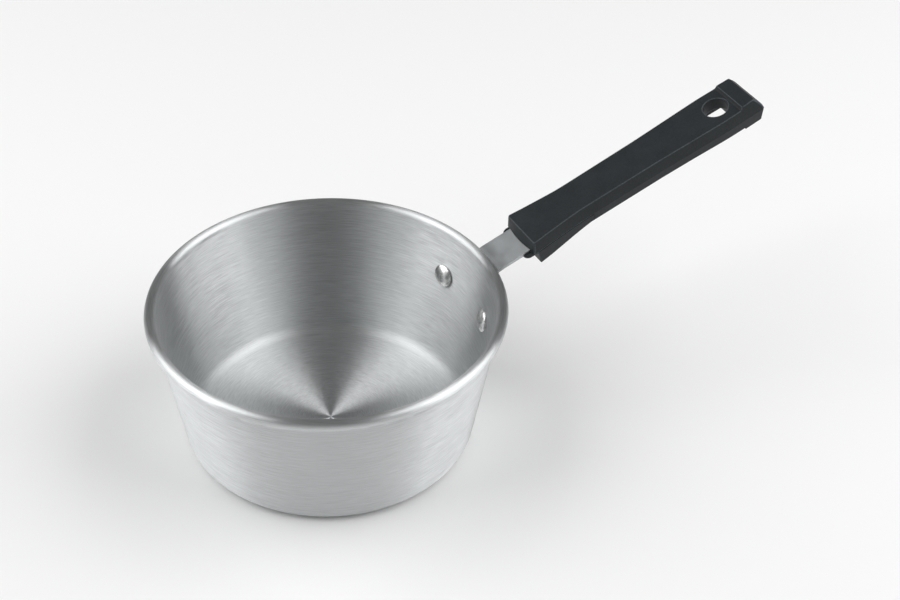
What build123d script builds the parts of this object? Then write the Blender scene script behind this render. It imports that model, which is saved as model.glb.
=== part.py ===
from build123d import *
import os
from math import asin, atan2, cos, hypot, radians, sin

# Milk pan: a pressed aluminium pan with a rolled rim, a riveted steel bracket and a two-shell handle.
# The origin is the centre of the flat base, +Z points up and the handle points along +X.
# All lengths are in millimetres and all angles in degrees.

# Pan. The wall's outer face leans in by wall_flare from the rim down to the base plane.
rim_diameter = 180.0
pan_height = 79.5
bead_diameter = 5.5
wall = 2.3
floor_thickness = 3.0
wall_flare = 16.7
corner_radius = 8.3

# Rivets, square to the wall on both sides of the handle's middle plane
rivet_spacing = 43.0
rivet_drop = 25.7
shank_diameter = 5.0
head_diameter = 11.4
head_height = 2.6
head_edge = 0.5
tail_diameter = 9.2
tail_height = 1.9
tail_edge = 0.5
rivet_fit = 0.05

# Steel bracket: a foot plate on the wall, a strip bent out under the rim and a tang in the handle
plate = 2.0
seat_gap = 0.05
foot_height = 18.0
neck_fillet = 7.0
strip_width = 21.3
bend_radius = 14.0
bend_reach = 9.0
flat_lap = 0.8
flat_step = 0.05
tang_width = 14.0
tang_length = 60.0
tang_corner = 4.0

# Handle, placed by the gap between the rim and its front and by its slope. Stations run from
# its front along its top face, and depths run down from that face.
handle_slope = 19.1
handle_gap = 20.0
handle_length = 146.0
front_width = 27.4
waist_width = 22.5
rear_width = 27.1
end_width = 26.4
waist_at = 32.0
rear_to_end = 31.0
side_blend = 200.0
nose_bulge = 1.9
front_corner = 2.5
end_corner = 3.0

# Bevel round the top of the handle, and the draft of its lower half
bevel_depth = 6.3
bevel_run = 1.2
front_rake = 1.6
end_rake = 3.5
side_draft = 0.7
end_draft = 2.5
top_edge_round = 0.7
low_edge_round = 0.8

# Raised end block and hanging hole
block_length = 13.5
step_run = 1.8
step_rise = 1.5
step_round = 1.2
block_rise = 0.7
block_depth = 12.4
hole_gap = 0.8
hole_diameter = 14.6
hole_edge_round = 0.3

# Underside of the handle and the joint between its shells
handle_depth = 11.0
nose_depth = 15.8
skirt_length = 34.6
skirt_mid_at = 14.5
skirt_mid_depth = 14.4
seam_depth = 6.6
seam_gap = 0.5
seam_end = 38.0
lower_front = 2.0
strip_depth = 6.0
strip_end = 7.6
tray_width = 18.2
tray_to_end = 34.0
tray_corner = 4.0
tray_recess = 0.2
slip = 0.2

# Lip of the lower shell, which carries the strip in front of the handle
lip_reach = 5.4
lip_width = 26.2
lip_depth = 9.8
lip_corner = 4.5
lip_edge_round = 1.2

# Screws through the lower shell and the tang into threaded inserts in the upper shell
front_screw_at = 18.0
rear_screw_to_tang_end = 12.0
screw_diameter = 4.0
screw_tip_depth = 3.0
screw_head_diameter = 7.4
screw_head_height = 1.1
screw_web = 1.6
slot_width = 0.9
slot_length = 4.6
slot_depth = 0.6
screw_play = 0.3
insert_diameter = 6.4
insert_length = 3.6
thread_play = 0.05

# Cuts and joined solids overrun by this much
over = 1.0


def meet(p, d, q, e):
    """Point where the line from p along d crosses the line from q along e."""
    turn = d[0] * e[1] - d[1] * e[0]
    reach = ((q[0] - p[0]) * e[1] - (q[1] - p[1]) * e[0]) / turn
    return (p[0] + reach * d[0], p[1] + reach * d[1])


# The wall's inner face is tangent to the bead, which gives the lean of the wall
rim_radius = rim_diameter / 2
base_edge_radius = rim_radius - wall_flare
rivet_height = pan_height - rivet_drop
bead_radius = bead_diameter / 2
bead_centre = (rim_radius - bead_radius, pan_height - bead_radius)
to_bead = (bead_centre[0] - base_edge_radius, bead_centre[1])
lean = atan2(to_bead[1], to_bead[0]) + asin((bead_radius - wall) / hypot(*to_bead))
up_wall = (cos(lean), sin(lean))
off_wall = (sin(lean), -cos(lean))
wall_top = meet((base_edge_radius, 0), up_wall, bead_centre, off_wall)


def by_wall(height, offset):
    """Point at a height, a distance out from the wall's outer face."""
    start = (base_edge_radius + offset * off_wall[0], offset * off_wall[1])
    return meet(start, up_wall, (0, height), (1, 0))


def rivet_planes(across):
    """A plane at each rivet on the wall's outer face, across its axis or along it."""
    radius = by_wall(rivet_height, 0)[0]
    half_angle = asin(rivet_spacing / 2 / radius)
    planes = []
    for turn in (-half_angle, half_angle):
        place = Vector(radius * cos(turn), radius * sin(turn), rivet_height)
        tangent = Vector(-sin(turn), cos(turn), 0)
        axis = Vector(off_wall[0] * cos(turn), off_wall[0] * sin(turn), off_wall[1])
        planes.append(Plane(place, x_dir=tangent, z_dir=axis if across else tangent.cross(axis)))
    return planes


def drill_rivet_holes():
    """Cut both rivet holes through the wall or the foot plate."""
    for plane in rivet_planes(across=True):
        with BuildSketch(plane) as hole:
            Circle(shank_diameter / 2 + rivet_fit)
        extrude(hole.sketch, amount=wall + plate + over, both=True, mode=Mode.SUBTRACT)


# Planes of the handle: grip lies in its top face, side cuts it along its middle
slope = radians(handle_slope)
along = Vector(cos(slope), 0, sin(slope))
upward = Vector(-sin(slope), 0, cos(slope))
handle_origin = Vector(rim_radius, 0, pan_height) + along * handle_gap
grip = Plane(handle_origin, x_dir=along, z_dir=upward)
side = Plane(handle_origin, x_dir=along, z_dir=Vector(0, -1, 0))
core_depth = strip_depth + plate
below = nose_depth + over
beyond = handle_length + over
rear_at = handle_length - rear_to_end
block_at = handle_length - block_length
hole_at = block_at - hole_gap - hole_diameter / 2
tray_end = handle_length - tray_to_end
rear_screw_at = tang_length - rear_screw_to_tang_end
screw_places = [front_screw_at, rear_screw_at]


def outline(level, round_front=True):
    """The handle's plan at a level, drawn in by the bevel above or the draft below."""
    rise = (level + bevel_depth) / bevel_depth
    fall = -(level + bevel_depth) / (block_depth - bevel_depth)
    inset = bevel_run * rise if rise >= 0 else side_draft * fall
    front = front_rake * rise if rise >= 0 else 0
    bulge = nose_bulge * (1 - rise) if rise >= 0 else nose_bulge
    end = handle_length - (end_rake * rise if rise >= 0 else end_draft * fall)
    widths = (front_width, waist_width, rear_width, end_width)
    sides = [width / 2 - inset for width in widths]
    edge = list(zip((front, waist_at, rear_at, end), sides))
    with BuildSketch(grip.offset(level)) as plan:
        with BuildLine():
            Polyline(*edge)
            Line(edge[-1], (end, -sides[-1]))
            Polyline(*[(x, -y) for x, y in reversed(edge)])
            ThreePointArc((front, -sides[0]), (front - bulge, 0), (front, sides[0]))
        make_face()
        for station in (waist_at, rear_at):
            bends = plan.vertices().filter_by(lambda v: abs(v.X - station) < over)
            fillet(bends, radius=side_blend)
        fillet(plan.vertices().sort_by(Axis.X)[-2:], radius=end_corner)
        if round_front:
            fillet(plan.vertices().sort_by(Axis.X)[:2], radius=front_corner)
    return plan.sketch


def handle_form(top_level, low_depth):
    """The whole handle: bevelled above its widest level and drafted below it."""
    loft([outline(-bevel_depth), outline(top_level)], ruled=True)
    loft([outline(-low_depth), outline(-bevel_depth)], ruled=True)


def plan_block(start, end, width, top, low, mode=Mode.ADD, end_round=0, start_round=0):
    """Add or cut a block from one station to another and from a top depth to a low one."""
    with BuildSketch(grip.offset(-low)) as plan:
        with Locations(((start + end) / 2, 0)):
            Rectangle(end - start, width)
        if end_round:
            fillet(plan.vertices().sort_by(Axis.X)[-2:], radius=end_round)
        if start_round:
            fillet(plan.vertices().sort_by(Axis.X)[:2], radius=start_round)
    extrude(plan.sketch, amount=low - top, mode=mode)


def drill(diameter, top, low, stations):
    """Cut round holes square to the top face, from a top depth to a low one."""
    with BuildSketch(grip.offset(-low)) as holes:
        with Locations([(station, 0) for station in stations]):
            Circle(diameter / 2)
    extrude(holes.sketch, amount=low - top, mode=Mode.SUBTRACT)


def is_low_rail_edge(edge):
    """True for the long low edges of the upper shell and those round the foot of its end block."""
    middle = grip.to_local_coords(edge @ 0.5)
    reach = abs(grip.to_local_coords(edge @ 0).X - grip.to_local_coords(edge @ 1).X)
    at_end = middle.X > handle_length - end_rake - end_draft
    return middle.Z < over / 2 - handle_depth and (reach > over or at_end)


def is_hole_rim(edge):
    """True for the two rims of the hanging hole."""
    middle = grip.to_local_coords(edge @ 0.5)
    reach = hypot(middle.X - hole_at, middle.Y)
    return edge.geom_type == GeomType.CIRCLE and abs(reach - hole_diameter / 2) < over / 4


def is_skirt_edge(edge):
    """True for the low and front edges on both sides of the lower shell's skirt."""
    start, middle, finish = [grip.to_local_coords(edge @ share) for share in (0, 0.5, 1)]
    upright = abs(start.Z - finish.Z) > over and abs(start.X - finish.X) < over / 4
    in_front = middle.X < lower_front + over
    across = abs(start.Y - finish.Y) > over * 2
    return middle.Z < -seam_depth - over and not across and (in_front or not upright)


def is_ahead(edge):
    """True for edges of the lip that lie ahead of its joint with the skirt."""
    return grip.to_local_coords(edge @ 0.5).X < lower_front + over / 2


def side_block(points, mode, round_at=(), rounding=0):
    """Cut or keep a stretch of the handle's side view, right through its width."""
    with BuildSketch(side) as view:
        with BuildLine():
            Polyline(*points, close=True)
        make_face()
        for place in round_at:
            fillet(view.vertices().sort_by_distance(place)[0], radius=rounding)
    extrude(view.sketch, amount=rim_radius, both=True, mode=mode)


def rivet_profile(plane):
    """Half section of a rivet: low domed head inside the wall, shank, and tail on the foot plate."""
    head_radius = head_diameter / 2
    tail_radius = tail_diameter / 2
    hollow = head_radius**2 / (2 * by_wall(rivet_height, -wall)[0])
    head_seat = -wall - hollow
    tail_seat = seat_gap + plate
    with BuildSketch(plane) as half:
        with BuildLine():
            crown = (0, head_seat - head_height)
            head_rim = (head_radius, head_seat - head_edge)
            TangentArc(crown, head_rim, tangent=(1, 0))
            Polyline(
                head_rim,
                (head_radius, head_seat),
                (shank_diameter / 2, head_seat),
                (shank_diameter / 2, tail_seat),
                (tail_radius, tail_seat),
                (tail_radius, tail_seat + tail_edge),
            )
            tail_crown = (0, tail_seat + tail_height)
            TangentArc(tail_crown, (tail_radius, tail_seat + tail_edge), tangent=(1, 0))
            Line(tail_crown, crown)
        make_face()
    return half.sketch


def add_insert(station):
    """Threaded sleeve pressed into the upper shell above the tang."""
    with BuildSketch(grip.offset(slip - strip_depth)) as ring:
        with Locations((station, 0)):
            Circle(insert_diameter / 2)
            Circle(screw_diameter / 2 + thread_play, mode=Mode.SUBTRACT)
    extrude(ring.sketch, amount=insert_length)


def add_screw(station):
    """Flat-headed slotted screw, its head in the lower shell and its tip in the insert."""
    seat = core_depth + screw_web
    with BuildSketch(grip.offset(-seat)) as shank:
        with Locations((station, 0)):
            Circle(screw_diameter / 2)
    extrude(shank.sketch, amount=seat - screw_tip_depth)
    with BuildSketch(grip.offset(-seat)) as head:
        with Locations((station, 0)):
            Circle(screw_head_diameter / 2)
    extrude(head.sketch, amount=-screw_head_height)
    with BuildSketch(grip.offset(-seat - screw_head_height)) as slot:
        with Locations((station, 0)):
            SlotOverall(slot_length, slot_width)
    extrude(slot.sketch, amount=slot_depth, mode=Mode.SUBTRACT)


# Pan body: wall, floor and rolled rim in one pressing
with BuildPart() as pan_body:
    inner_top = (bead_centre[0] - bead_radius * off_wall[0], bead_centre[1] - bead_radius * off_wall[1])
    inner_foot = by_wall(floor_thickness, -wall)
    with BuildSketch(Plane.XZ) as profile:
        with BuildLine():
            Polyline(
                (0, 0),
                (base_edge_radius, 0),
                wall_top,
                inner_top,
                inner_foot,
                (0, floor_thickness),
                close=True,
            )
        make_face()
        foot_corner = profile.vertices().sort_by_distance((base_edge_radius, 0))[0]
        fillet(foot_corner, radius=corner_radius)
        floor_corner = profile.vertices().sort_by_distance(inner_foot)[0]
        fillet(floor_corner, radius=corner_radius - wall)
        with Locations(bead_centre):
            Circle(bead_radius)
    revolve(axis=Axis.Z)
    drill_rivet_holes()

# Handle bracket: one steel pressing, with a foot on the wall and a strip and tang along the handle
with BuildPart() as handle_bracket:
    mid = seat_gap + plate / 2
    flat_start = grip.from_local_coords(Vector(-handle_gap, 0, -strip_depth - plate / 2 - flat_step))
    low_point = by_wall(rivet_height - foot_height, mid)
    bend = meet(low_point, up_wall, (flat_start.X, flat_start.Z), (along.X, along.Z))
    bend_end = Vector(bend[0], 0, bend[1]) + along * bend_reach
    with BuildSketch(Plane.XZ):
        with BuildLine():
            FilletPolyline(low_point, bend, (bend_end.X, bend_end.Z), radius=bend_radius)
        trace(line_width=plate)
    revolve(axis=Axis.Z)
    # The strip and tang are flat from the end of the bend
    bend_station = grip.to_local_coords(bend_end).X
    plan_block(bend_station - flat_lap, tang_length, rim_diameter, strip_depth, core_depth)
    # Seen from the front: a foot with round ends and a neck that narrows to the strip
    foot_top = rivet_height + foot_height / 2
    with BuildSketch(Plane.YZ) as front_view:
        with Locations((0, rivet_height)):
            SlotCenterToCenter(rivet_spacing, foot_height)
        with Locations((0, rivet_height + rim_diameter / 2)):
            Rectangle(strip_width, rim_diameter)
        necks = front_view.vertices().filter_by(lambda v: abs(v.Y - foot_top) < plate)
        fillet(necks.sort_by(lambda v: abs(abs(v.X) - strip_width / 2))[:2], radius=neck_fillet)
    extrude(amount=rim_diameter * 2, mode=Mode.INTERSECT)
    # Seen from above: the strip narrows to a tang with a rounded end
    with BuildSketch(grip) as plan_view:
        with Locations((strip_end - rim_diameter, 0)):
            Rectangle(2 * rim_diameter, rim_diameter)
        with Locations((tang_length / 2, 0)):
            Rectangle(tang_length, tang_width)
        fillet(plan_view.vertices().sort_by(Axis.X)[-2:], radius=tang_corner)
    extrude(amount=rim_diameter, both=True, mode=Mode.INTERSECT)
    drill_rivet_holes()
    drill(screw_diameter + 2 * screw_play, strip_depth - over, core_depth + over, screw_places)

# Upper shell: top, bevelled sides, deep rear walls, end block and hanging hole
with BuildPart() as handle_upper_shell:
    crest = step_rise + block_rise
    handle_form(crest + over, block_depth)
    side_block(
        [
            (-beyond, 0),
            (block_at, 0),
            (block_at + step_run, step_rise),
            (beyond, crest),
            (beyond, below),
            (-beyond, below),
        ],
        Mode.SUBTRACT,
        round_at=[(block_at, 0), (block_at + step_run, step_rise)],
        rounding=step_round,
    )
    top_faces = handle_upper_shell.faces().filter_by(lambda f: f.normal_at().dot(upward) > cos(radians(60)))
    top_edges = top_faces.edges()
    fillet([edge for edge in top_edges if top_edges.count(edge) == 1], radius=top_edge_round)
    side_block(
        [
            (-beyond, -seam_depth),
            (seam_end, -seam_depth),
            (seam_end, -handle_depth),
            (block_at, -handle_depth),
            (block_at, -below),
            (-beyond, -below),
        ],
        Mode.SUBTRACT,
    )
    low_edges = handle_upper_shell.edges().filter_by(is_low_rail_edge)
    fillet(low_edges, radius=low_edge_round)
    channel = tray_width + 2 * slip
    plan_block(seam_end - over, block_at, channel, core_depth, below, Mode.SUBTRACT)
    plan_block(strip_end + slip, seam_end, tray_width, seam_depth - over, core_depth)
    # Pocket of the strip and the tang, open downwards
    pocket = strip_depth - slip
    plan_block(-beyond, strip_end + slip, strip_width + 2 * slip, pocket, below, Mode.SUBTRACT)
    plan_block(
        strip_end,
        tang_length + slip,
        tang_width + 2 * slip,
        pocket,
        below,
        Mode.SUBTRACT,
        end_round=tang_corner,
    )
    drill(hole_diameter, -crest - over, below, [hole_at])
    hole_rims = handle_upper_shell.edges().filter_by(is_hole_rim)
    fillet(hole_rims, radius=hole_edge_round)
    drill(insert_diameter, pocket - insert_length, core_depth, screw_places)

# Lip in front of the lower shell, rounded below
seam_low = seam_depth + seam_gap
with BuildPart() as lip:
    lip_end = lower_front + over
    plan_block(lower_front - lip_reach, lip_end, lip_width, seam_low, lip_depth, start_round=lip_corner)
    underside = lip.faces().sort_by_distance(grip.from_local_coords((0, 0, -lip_depth)))[0]
    fillet(underside.edges().filter_by(is_ahead), radius=lip_edge_round)

# Lower shell: the lip under the strip, a skirt behind it and a tray in the upper shell's channel
with BuildPart() as handle_lower_shell:
    loft([outline(-nose_depth, False), outline(-bevel_depth, False)], ruled=True)
    side_block(
        [
            (lower_front, -seam_low),
            (seam_end - seam_gap, -seam_low),
            (seam_end - seam_gap, -handle_depth),
            (skirt_length, -handle_depth),
            (skirt_mid_at, -skirt_mid_depth),
            (lower_front, -nose_depth),
        ],
        Mode.INTERSECT,
        round_at=[(lower_front, -nose_depth)],
        rounding=low_edge_round,
    )
    fillet(handle_lower_shell.edges().filter_by(is_skirt_edge), radius=low_edge_round)
    add(lip.part)
    plan_block(lower_front, seam_end, channel, seam_depth, core_depth, Mode.SUBTRACT)
    plan_block(-beyond, strip_end + slip, strip_width + 2 * slip, seam_depth, core_depth, Mode.SUBTRACT)
    plan_block(
        lower_front,
        tray_end,
        tray_width,
        core_depth,
        handle_depth - tray_recess,
        end_round=tray_corner,
    )
    drill(screw_diameter + 2 * screw_play, core_depth - over, below, screw_places)
    drill(
        screw_head_diameter + 2 * screw_play,
        core_depth + screw_web,
        below,
        screw_places,
    )

# Rivets, one on each side of the handle's middle plane
rivet_left_plane, rivet_right_plane = rivet_planes(across=False)
with BuildPart() as rivet_left:
    revolve(rivet_profile(rivet_left_plane), axis=Axis(rivet_left_plane.origin, rivet_left_plane.y_dir))
with BuildPart() as rivet_right:
    revolve(rivet_profile(rivet_right_plane), axis=Axis(rivet_right_plane.origin, rivet_right_plane.y_dir))

# Threaded inserts and screws
with BuildPart() as insert_front:
    add_insert(front_screw_at)
with BuildPart() as insert_rear:
    add_insert(rear_screw_at)
with BuildPart() as screw_front:
    add_screw(front_screw_at)
with BuildPart() as screw_rear:
    add_screw(rear_screw_at)

pan_body.part.label = "pan_body"
handle_bracket.part.label = "handle_bracket"
rivet_left.part.label = "rivet_left"
rivet_right.part.label = "rivet_right"
handle_upper_shell.part.label = "handle_upper_shell"
handle_lower_shell.part.label = "handle_lower_shell"
insert_front.part.label = "insert_front"
insert_rear.part.label = "insert_rear"
screw_front.part.label = "screw_front"
screw_rear.part.label = "screw_rear"

os.makedirs("parts", exist_ok=True)
export_step(pan_body.part, "parts/pan_body.step")
export_step(handle_bracket.part, "parts/handle_bracket.step")
export_step(rivet_left.part, "parts/rivet_left.step")
export_step(rivet_right.part, "parts/rivet_right.step")
export_step(handle_upper_shell.part, "parts/handle_upper_shell.step")
export_step(handle_lower_shell.part, "parts/handle_lower_shell.step")
export_step(insert_front.part, "parts/insert_front.step")
export_step(insert_rear.part, "parts/insert_rear.step")
export_step(screw_front.part, "parts/screw_front.step")
export_step(screw_rear.part, "parts/screw_rear.step")
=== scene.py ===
"""Milk pan: a brushed aluminium pan with a riveted steel bracket and a dark two-shell handle.

The frame's origin is the centre of the flat base, +Z points up and the handle points along +X.
All sizes are in metres.
"""

from math import asin, atan2, cos, hypot, pi, radians, sin, sqrt, tan

import bmesh
import bpy
from mathutils import Matrix, Vector


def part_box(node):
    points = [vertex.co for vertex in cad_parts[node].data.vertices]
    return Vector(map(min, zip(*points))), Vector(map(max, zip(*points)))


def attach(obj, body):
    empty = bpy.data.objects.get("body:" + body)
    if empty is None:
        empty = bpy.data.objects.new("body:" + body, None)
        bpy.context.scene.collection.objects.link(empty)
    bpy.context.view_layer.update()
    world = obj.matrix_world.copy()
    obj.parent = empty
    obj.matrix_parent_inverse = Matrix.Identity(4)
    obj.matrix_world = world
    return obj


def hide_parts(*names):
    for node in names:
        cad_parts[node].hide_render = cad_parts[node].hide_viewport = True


bl_info = {
    "name": "Milk Pan",
    "version": (1, 0, 0),
    "blender": (4, 5, 0),
    "location": "3D View > Sidebar > Milk Pan",
    "description": "Dresses a milk pan with brushed metal, a dark grained handle and a studio stage",
    "category": "Add Mesh",
}

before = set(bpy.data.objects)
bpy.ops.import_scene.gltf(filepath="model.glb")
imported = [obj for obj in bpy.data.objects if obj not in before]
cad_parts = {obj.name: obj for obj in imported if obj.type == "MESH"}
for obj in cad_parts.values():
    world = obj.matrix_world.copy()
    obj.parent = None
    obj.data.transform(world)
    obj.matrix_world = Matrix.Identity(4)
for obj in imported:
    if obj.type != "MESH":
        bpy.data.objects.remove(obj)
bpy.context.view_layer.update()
pan_low, pan_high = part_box("pan_body")

# Distance under which two places count as one
TOUCH = 1e-7

# Distance under which a point counts as lying on the axis or at a level
NEAR = 1e-6

# Reach of the cutters ahead of the handle's front, across it, below its top face and past its hole's ends
CUT_AHEAD = 0.02
CUT_ACROSS = 0.06
CUT_BELOW = 0.03
HOLE_OVERRUN = 0.004

# Overlap of shapes that are joined
LAP = 0.001


def length(name, about, default):
    """A size that a user may change."""
    return bpy.props.FloatProperty(
        name=name, description=about, default=default, min=0, precision=5, unit="LENGTH", subtype="DISTANCE"
    )


def tint(name, about, default):
    """A surface colour that a user may change."""
    return bpy.props.FloatVectorProperty(
        name=name, description=about, default=default, size=3, min=0, max=1, subtype="COLOR"
    )


class PanSizes(bpy.types.PropertyGroup):
    """Sizes of the pan's section."""

    rim_diameter: length("Rim diameter", "Across the rolled rim", pan_high.x - pan_low.x)
    height: length("Height", "From the base to the top of the rim", pan_high.z)
    bead_diameter: length("Bead diameter", "Thickness of the rolled rim", 0.0055)
    wall: length("Wall", "Thickness of the wall", 0.0023)
    floor_thickness: length("Floor", "Thickness of the floor", 0.003)
    wall_flare: length("Wall flare", "How far the wall leans in from the rim to the base", 0.0167)
    corner_radius: length("Corner radius", "Radius of the outer corner between wall and base", 0.0083)


class RivetSizes(bpy.types.PropertyGroup):
    """Sizes of the two rivets and their places on the wall."""

    spacing: length("Spacing", "From one rivet to the other", 0.0434)
    drop: length("Drop", "From the top of the rim down to the rivets", 0.0261)
    shank_diameter: length("Shank diameter", "Across the shank", 0.005)
    head_diameter: length("Head diameter", "Across the domed head inside the wall", 0.0120)
    head_height: length("Head height", "Height of the domed head", 0.0028)
    head_rim: length("Head rim", "Height of the head's upright rim", 0.0009)
    tail_diameter: length("Tail diameter", "Across the tail on the foot plate", 0.0092)
    tail_height: length("Tail height", "Height of the tail", 0.0019)
    tail_rim: length("Tail rim", "Height of the tail's upright rim", 0.0005)
    edge_round: length("Edge round", "Rounding of the rivet's edges", 0.00022)
    plate: length("Plate", "From the wall's outer face to the tail's seat", 0.00205)


class BracketSizes(bpy.types.PropertyGroup):
    """Sizes of the steel strip that carries the handle."""

    plate: length("Plate", "Thickness of the sheet", 0.002)
    seat_gap: length("Seat gap", "Gap between the foot and the wall", 0.00005)
    foot_height: length("Foot height", "Height of the foot on the wall", 0.018)
    strip_width: length("Strip width", "Width of the strip between the wall and the handle", 0.0207)
    neck_radius: length("Neck radius", "Rounding between the foot and the strip", 0.007)
    bend_radius: length("Bend radius", "Radius of the bend under the rim", 0.014)
    tang_width: length("Tang width", "Width of the tang in the handle", 0.014)
    tang_length: length("Tang length", "How far the tang reaches into the handle", 0.06)
    tang_corner: length("Tang corner", "Radius of the tang's corners", 0.004)
    edge_round: length("Edge round", "Rounding of the sheet's edges", 0.0003)


class HandleSizes(bpy.types.PropertyGroup):
    """Sizes of the handle, measured along its top face and down from it."""

    slope: bpy.props.FloatProperty(
        name="Slope",
        description="Slope of the handle",
        default=radians(19.1),
        subtype="ANGLE",
        unit="ROTATION",
    )
    gap: length("Gap", "From the rim to the front of the handle", 0.02)
    long: length("Length", "From the front to the end", 0.146)
    front_width: length("Front width", "Width at the front", 0.0286)
    waist_width: length("Waist width", "Width at the waist", 0.0244)
    neck_width: length("Neck width", "Width where the sides start to widen", 0.0252)
    rear_width: length("Rear width", "Width where the rear is widest", 0.0278)
    end_width: length("End width", "Width at the end", 0.0267)
    waist_at: length("Waist at", "Station of the waist", 0.030)
    neck_at: length("Neck at", "Station where the sides start to widen", 0.080)
    rear_at: length("Rear at", "Station where the rear is widest", 0.121)
    side_blend: length("Side blend", "Radius of the bends in the sides", 0.2)
    nose_bulge: length("Nose bulge", "How far the front bulges towards the pan", 0.0019)
    front_corner: length("Front corner", "Radius of the front corners", 0.0013)
    end_corner: length("End corner", "Radius of the end corners", 0.0015)
    bevel_depth: length("Bevel depth", "Depth of the widest level", 0.0063)
    bevel_run: length("Bevel run", "How far the bevel draws the sides in behind the waist", 0.0014)
    front_bevel_run: length("Front bevel run", "How far the bevel draws the sides in at the front", 0.0007)
    front_rake: length("Front rake", "How far the bevel draws the front in", 0.0016)
    end_rake: length("End rake", "How far the bevel draws the end in", 0.0030)
    side_draft: length("Side draft", "How far the sides draw in below", 0.0007)
    end_draft: length("End draft", "How far the end draws in below", 0.0025)
    top_edge_round: length("Top edge round", "Rounding of the top edges", 0.0004)
    low_edge_round: length("Low edge round", "Rounding of the low edges", 0.0005)
    block_at: length("Block at", "Station of the raised end block", 0.1327)
    step_run: length("Step run", "Length of the step's slope", 0.0012)
    step_rise: length("Step rise", "Height of the step", 0.0015)
    step_round: length("Step round", "Rounding of the step", 0.0008)
    crest: length("Crest", "Height of the block's end", 0.0018)
    block_depth: length("Block depth", "Depth of the end block", 0.0130)
    hole_at: length("Hole at", "Station of the hanging hole", 0.1247)
    hole_diameter: length("Hole diameter", "Across the hanging hole", 0.0137)
    hole_edge_round: length("Hole edge round", "Rounding of the hole's rims", 0.0005)
    depth: length("Depth", "Depth of the rear walls", 0.0113)
    rear_depth: length("Rear depth", "Depth of the rear walls at the end block", 0.0120)
    nose_depth: length("Nose depth", "Depth of the skirt at the front", 0.0156)
    skirt_length: length("Skirt length", "Where the skirt meets the underside", 0.0355)
    skirt_mid_at: length("Skirt middle at", "Station of the skirt's bend", 0.0095)
    skirt_mid_depth: length("Skirt middle depth", "Depth of the skirt's bend", 0.0150)
    seam_depth: length("Seam depth", "Depth of the joint between the shells", 0.0066)
    seam_gap: length("Seam gap", "Gap between the shells", 0.0004)
    seam_end: length("Seam end", "Where the joint ends", 0.038)
    lower_front: length("Lower front", "Front of the skirt", 0.002)
    strip_depth: length("Strip depth", "Depth of the strip's upper face", 0.0056)
    strip_end: length("Strip end", "Where the strip narrows to the tang", 0.0076)
    tray_width: length("Tray width", "Width of the tray under the handle", 0.0182)
    tray_end: length("Tray end", "End of the tray", 0.112)
    tray_corner: length("Tray corner", "Radius of the tray's corners", 0.004)
    tray_edge_round: length("Tray edge round", "Rounding under the tray", 0.0005)
    slip: length("Slip", "Gap round the parts that slide together", 0.0002)
    lip_reach: length("Lip reach", "How far the lip reaches from the skirt", 0.0070)
    lip_width: length("Lip width", "Width of the lip", 0.0262)
    lip_depth: length("Lip depth", "Depth of the lip's underside", 0.0090)
    lip_corner: length("Lip corner", "Radius of the lip's corners", 0.0035)
    lip_edge_round: length("Lip edge round", "Rounding under the lip", 0.0012)


class FastenerSizes(bpy.types.PropertyGroup):
    """Sizes of the screws and the threaded inserts."""

    front_at: length("Front at", "Station of the front screw", 0.018)
    rear_at: length("Rear at", "Station of the rear screw", 0.048)
    screw_diameter: length("Screw diameter", "Across the shank", 0.004)
    tip_depth: length("Tip depth", "Depth of the screw's tip", 0.003)
    head_diameter: length("Head diameter", "Across the flat head", 0.0074)
    head_height: length("Head height", "Height of the flat head", 0.0011)
    web: length("Web", "Plastic between the tang and the head", 0.0016)
    slot_width: length("Slot width", "Width of the slot", 0.0009)
    slot_length: length("Slot length", "Length of the slot", 0.0046)
    slot_depth: length("Slot depth", "Depth of the slot", 0.0006)
    play: length("Play", "Gap round the screw", 0.0003)
    insert_diameter: length("Insert diameter", "Across the sleeve", 0.0064)
    insert_length: length("Insert length", "Length of the sleeve", 0.0036)
    insert_edge_round: length("Insert edge round", "Rounding of the sleeve's edges", 0.00015)
    screw_edge_round: length("Screw edge round", "Rounding of the screw's edges", 0.0002)
    thread_play: length("Thread play", "Gap between screw and sleeve", 0.00005)


class Finishes(bpy.types.PropertyGroup):
    """Colours of the pan's surfaces."""

    aluminium: tint("Aluminium", "Brushed metal of the pan", (0.68, 0.695, 0.70))
    steel: tint("Steel", "Satin metal of the bracket", (0.485, 0.505, 0.517))
    rivet: tint("Rivet", "Bright metal of the rivets", (0.78, 0.78, 0.77))
    phenolic: tint("Phenolic", "Dark plastic of the handle", (0.0215, 0.0255, 0.0280))
    brass: tint("Brass", "Metal of the threaded inserts", (0.70, 0.52, 0.24))
    floor: tint("Studio floor", "Pale floor under the pan", (0.93, 0.93, 0.93))


def value_nodes(material):
    """Clear a material's tree and return its tree, its shader and a function that adds nodes."""
    material.use_nodes = True
    tree = material.node_tree
    tree.nodes.clear()
    output = tree.nodes.new("ShaderNodeOutputMaterial")
    shader = tree.nodes.new("ShaderNodeBsdfPrincipled")
    tree.links.new(shader.outputs["BSDF"], output.inputs["Surface"])

    def add(kind, sources=None, **settings):
        """Add a node, set its properties, and link or set its inputs by name or place."""
        made = tree.nodes.new(kind)
        for name, setting in settings.items():
            setattr(made, name, setting)
        for socket, source in (sources or {}).items():
            if isinstance(source, bpy.types.NodeSocket):
                tree.links.new(source, made.inputs[socket])
            else:
                made.inputs[socket].default_value = source
        return made

    return tree, shader, add


def maths(add, operation, first, second=0.0, third=0.0):
    """Output of a maths node."""
    return add("ShaderNodeMath", {0: first, 1: second, 2: third}, operation=operation).outputs[0]


def spread(add, source, low, high, start=0.0, end=1.0):
    """Output of a clamped range node that turns start..end into low..high."""
    sockets = {"Value": source, "From Min": start, "From Max": end, "To Min": low, "To Max": high}
    return add("ShaderNodeMapRange", sockets).outputs[0]


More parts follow.
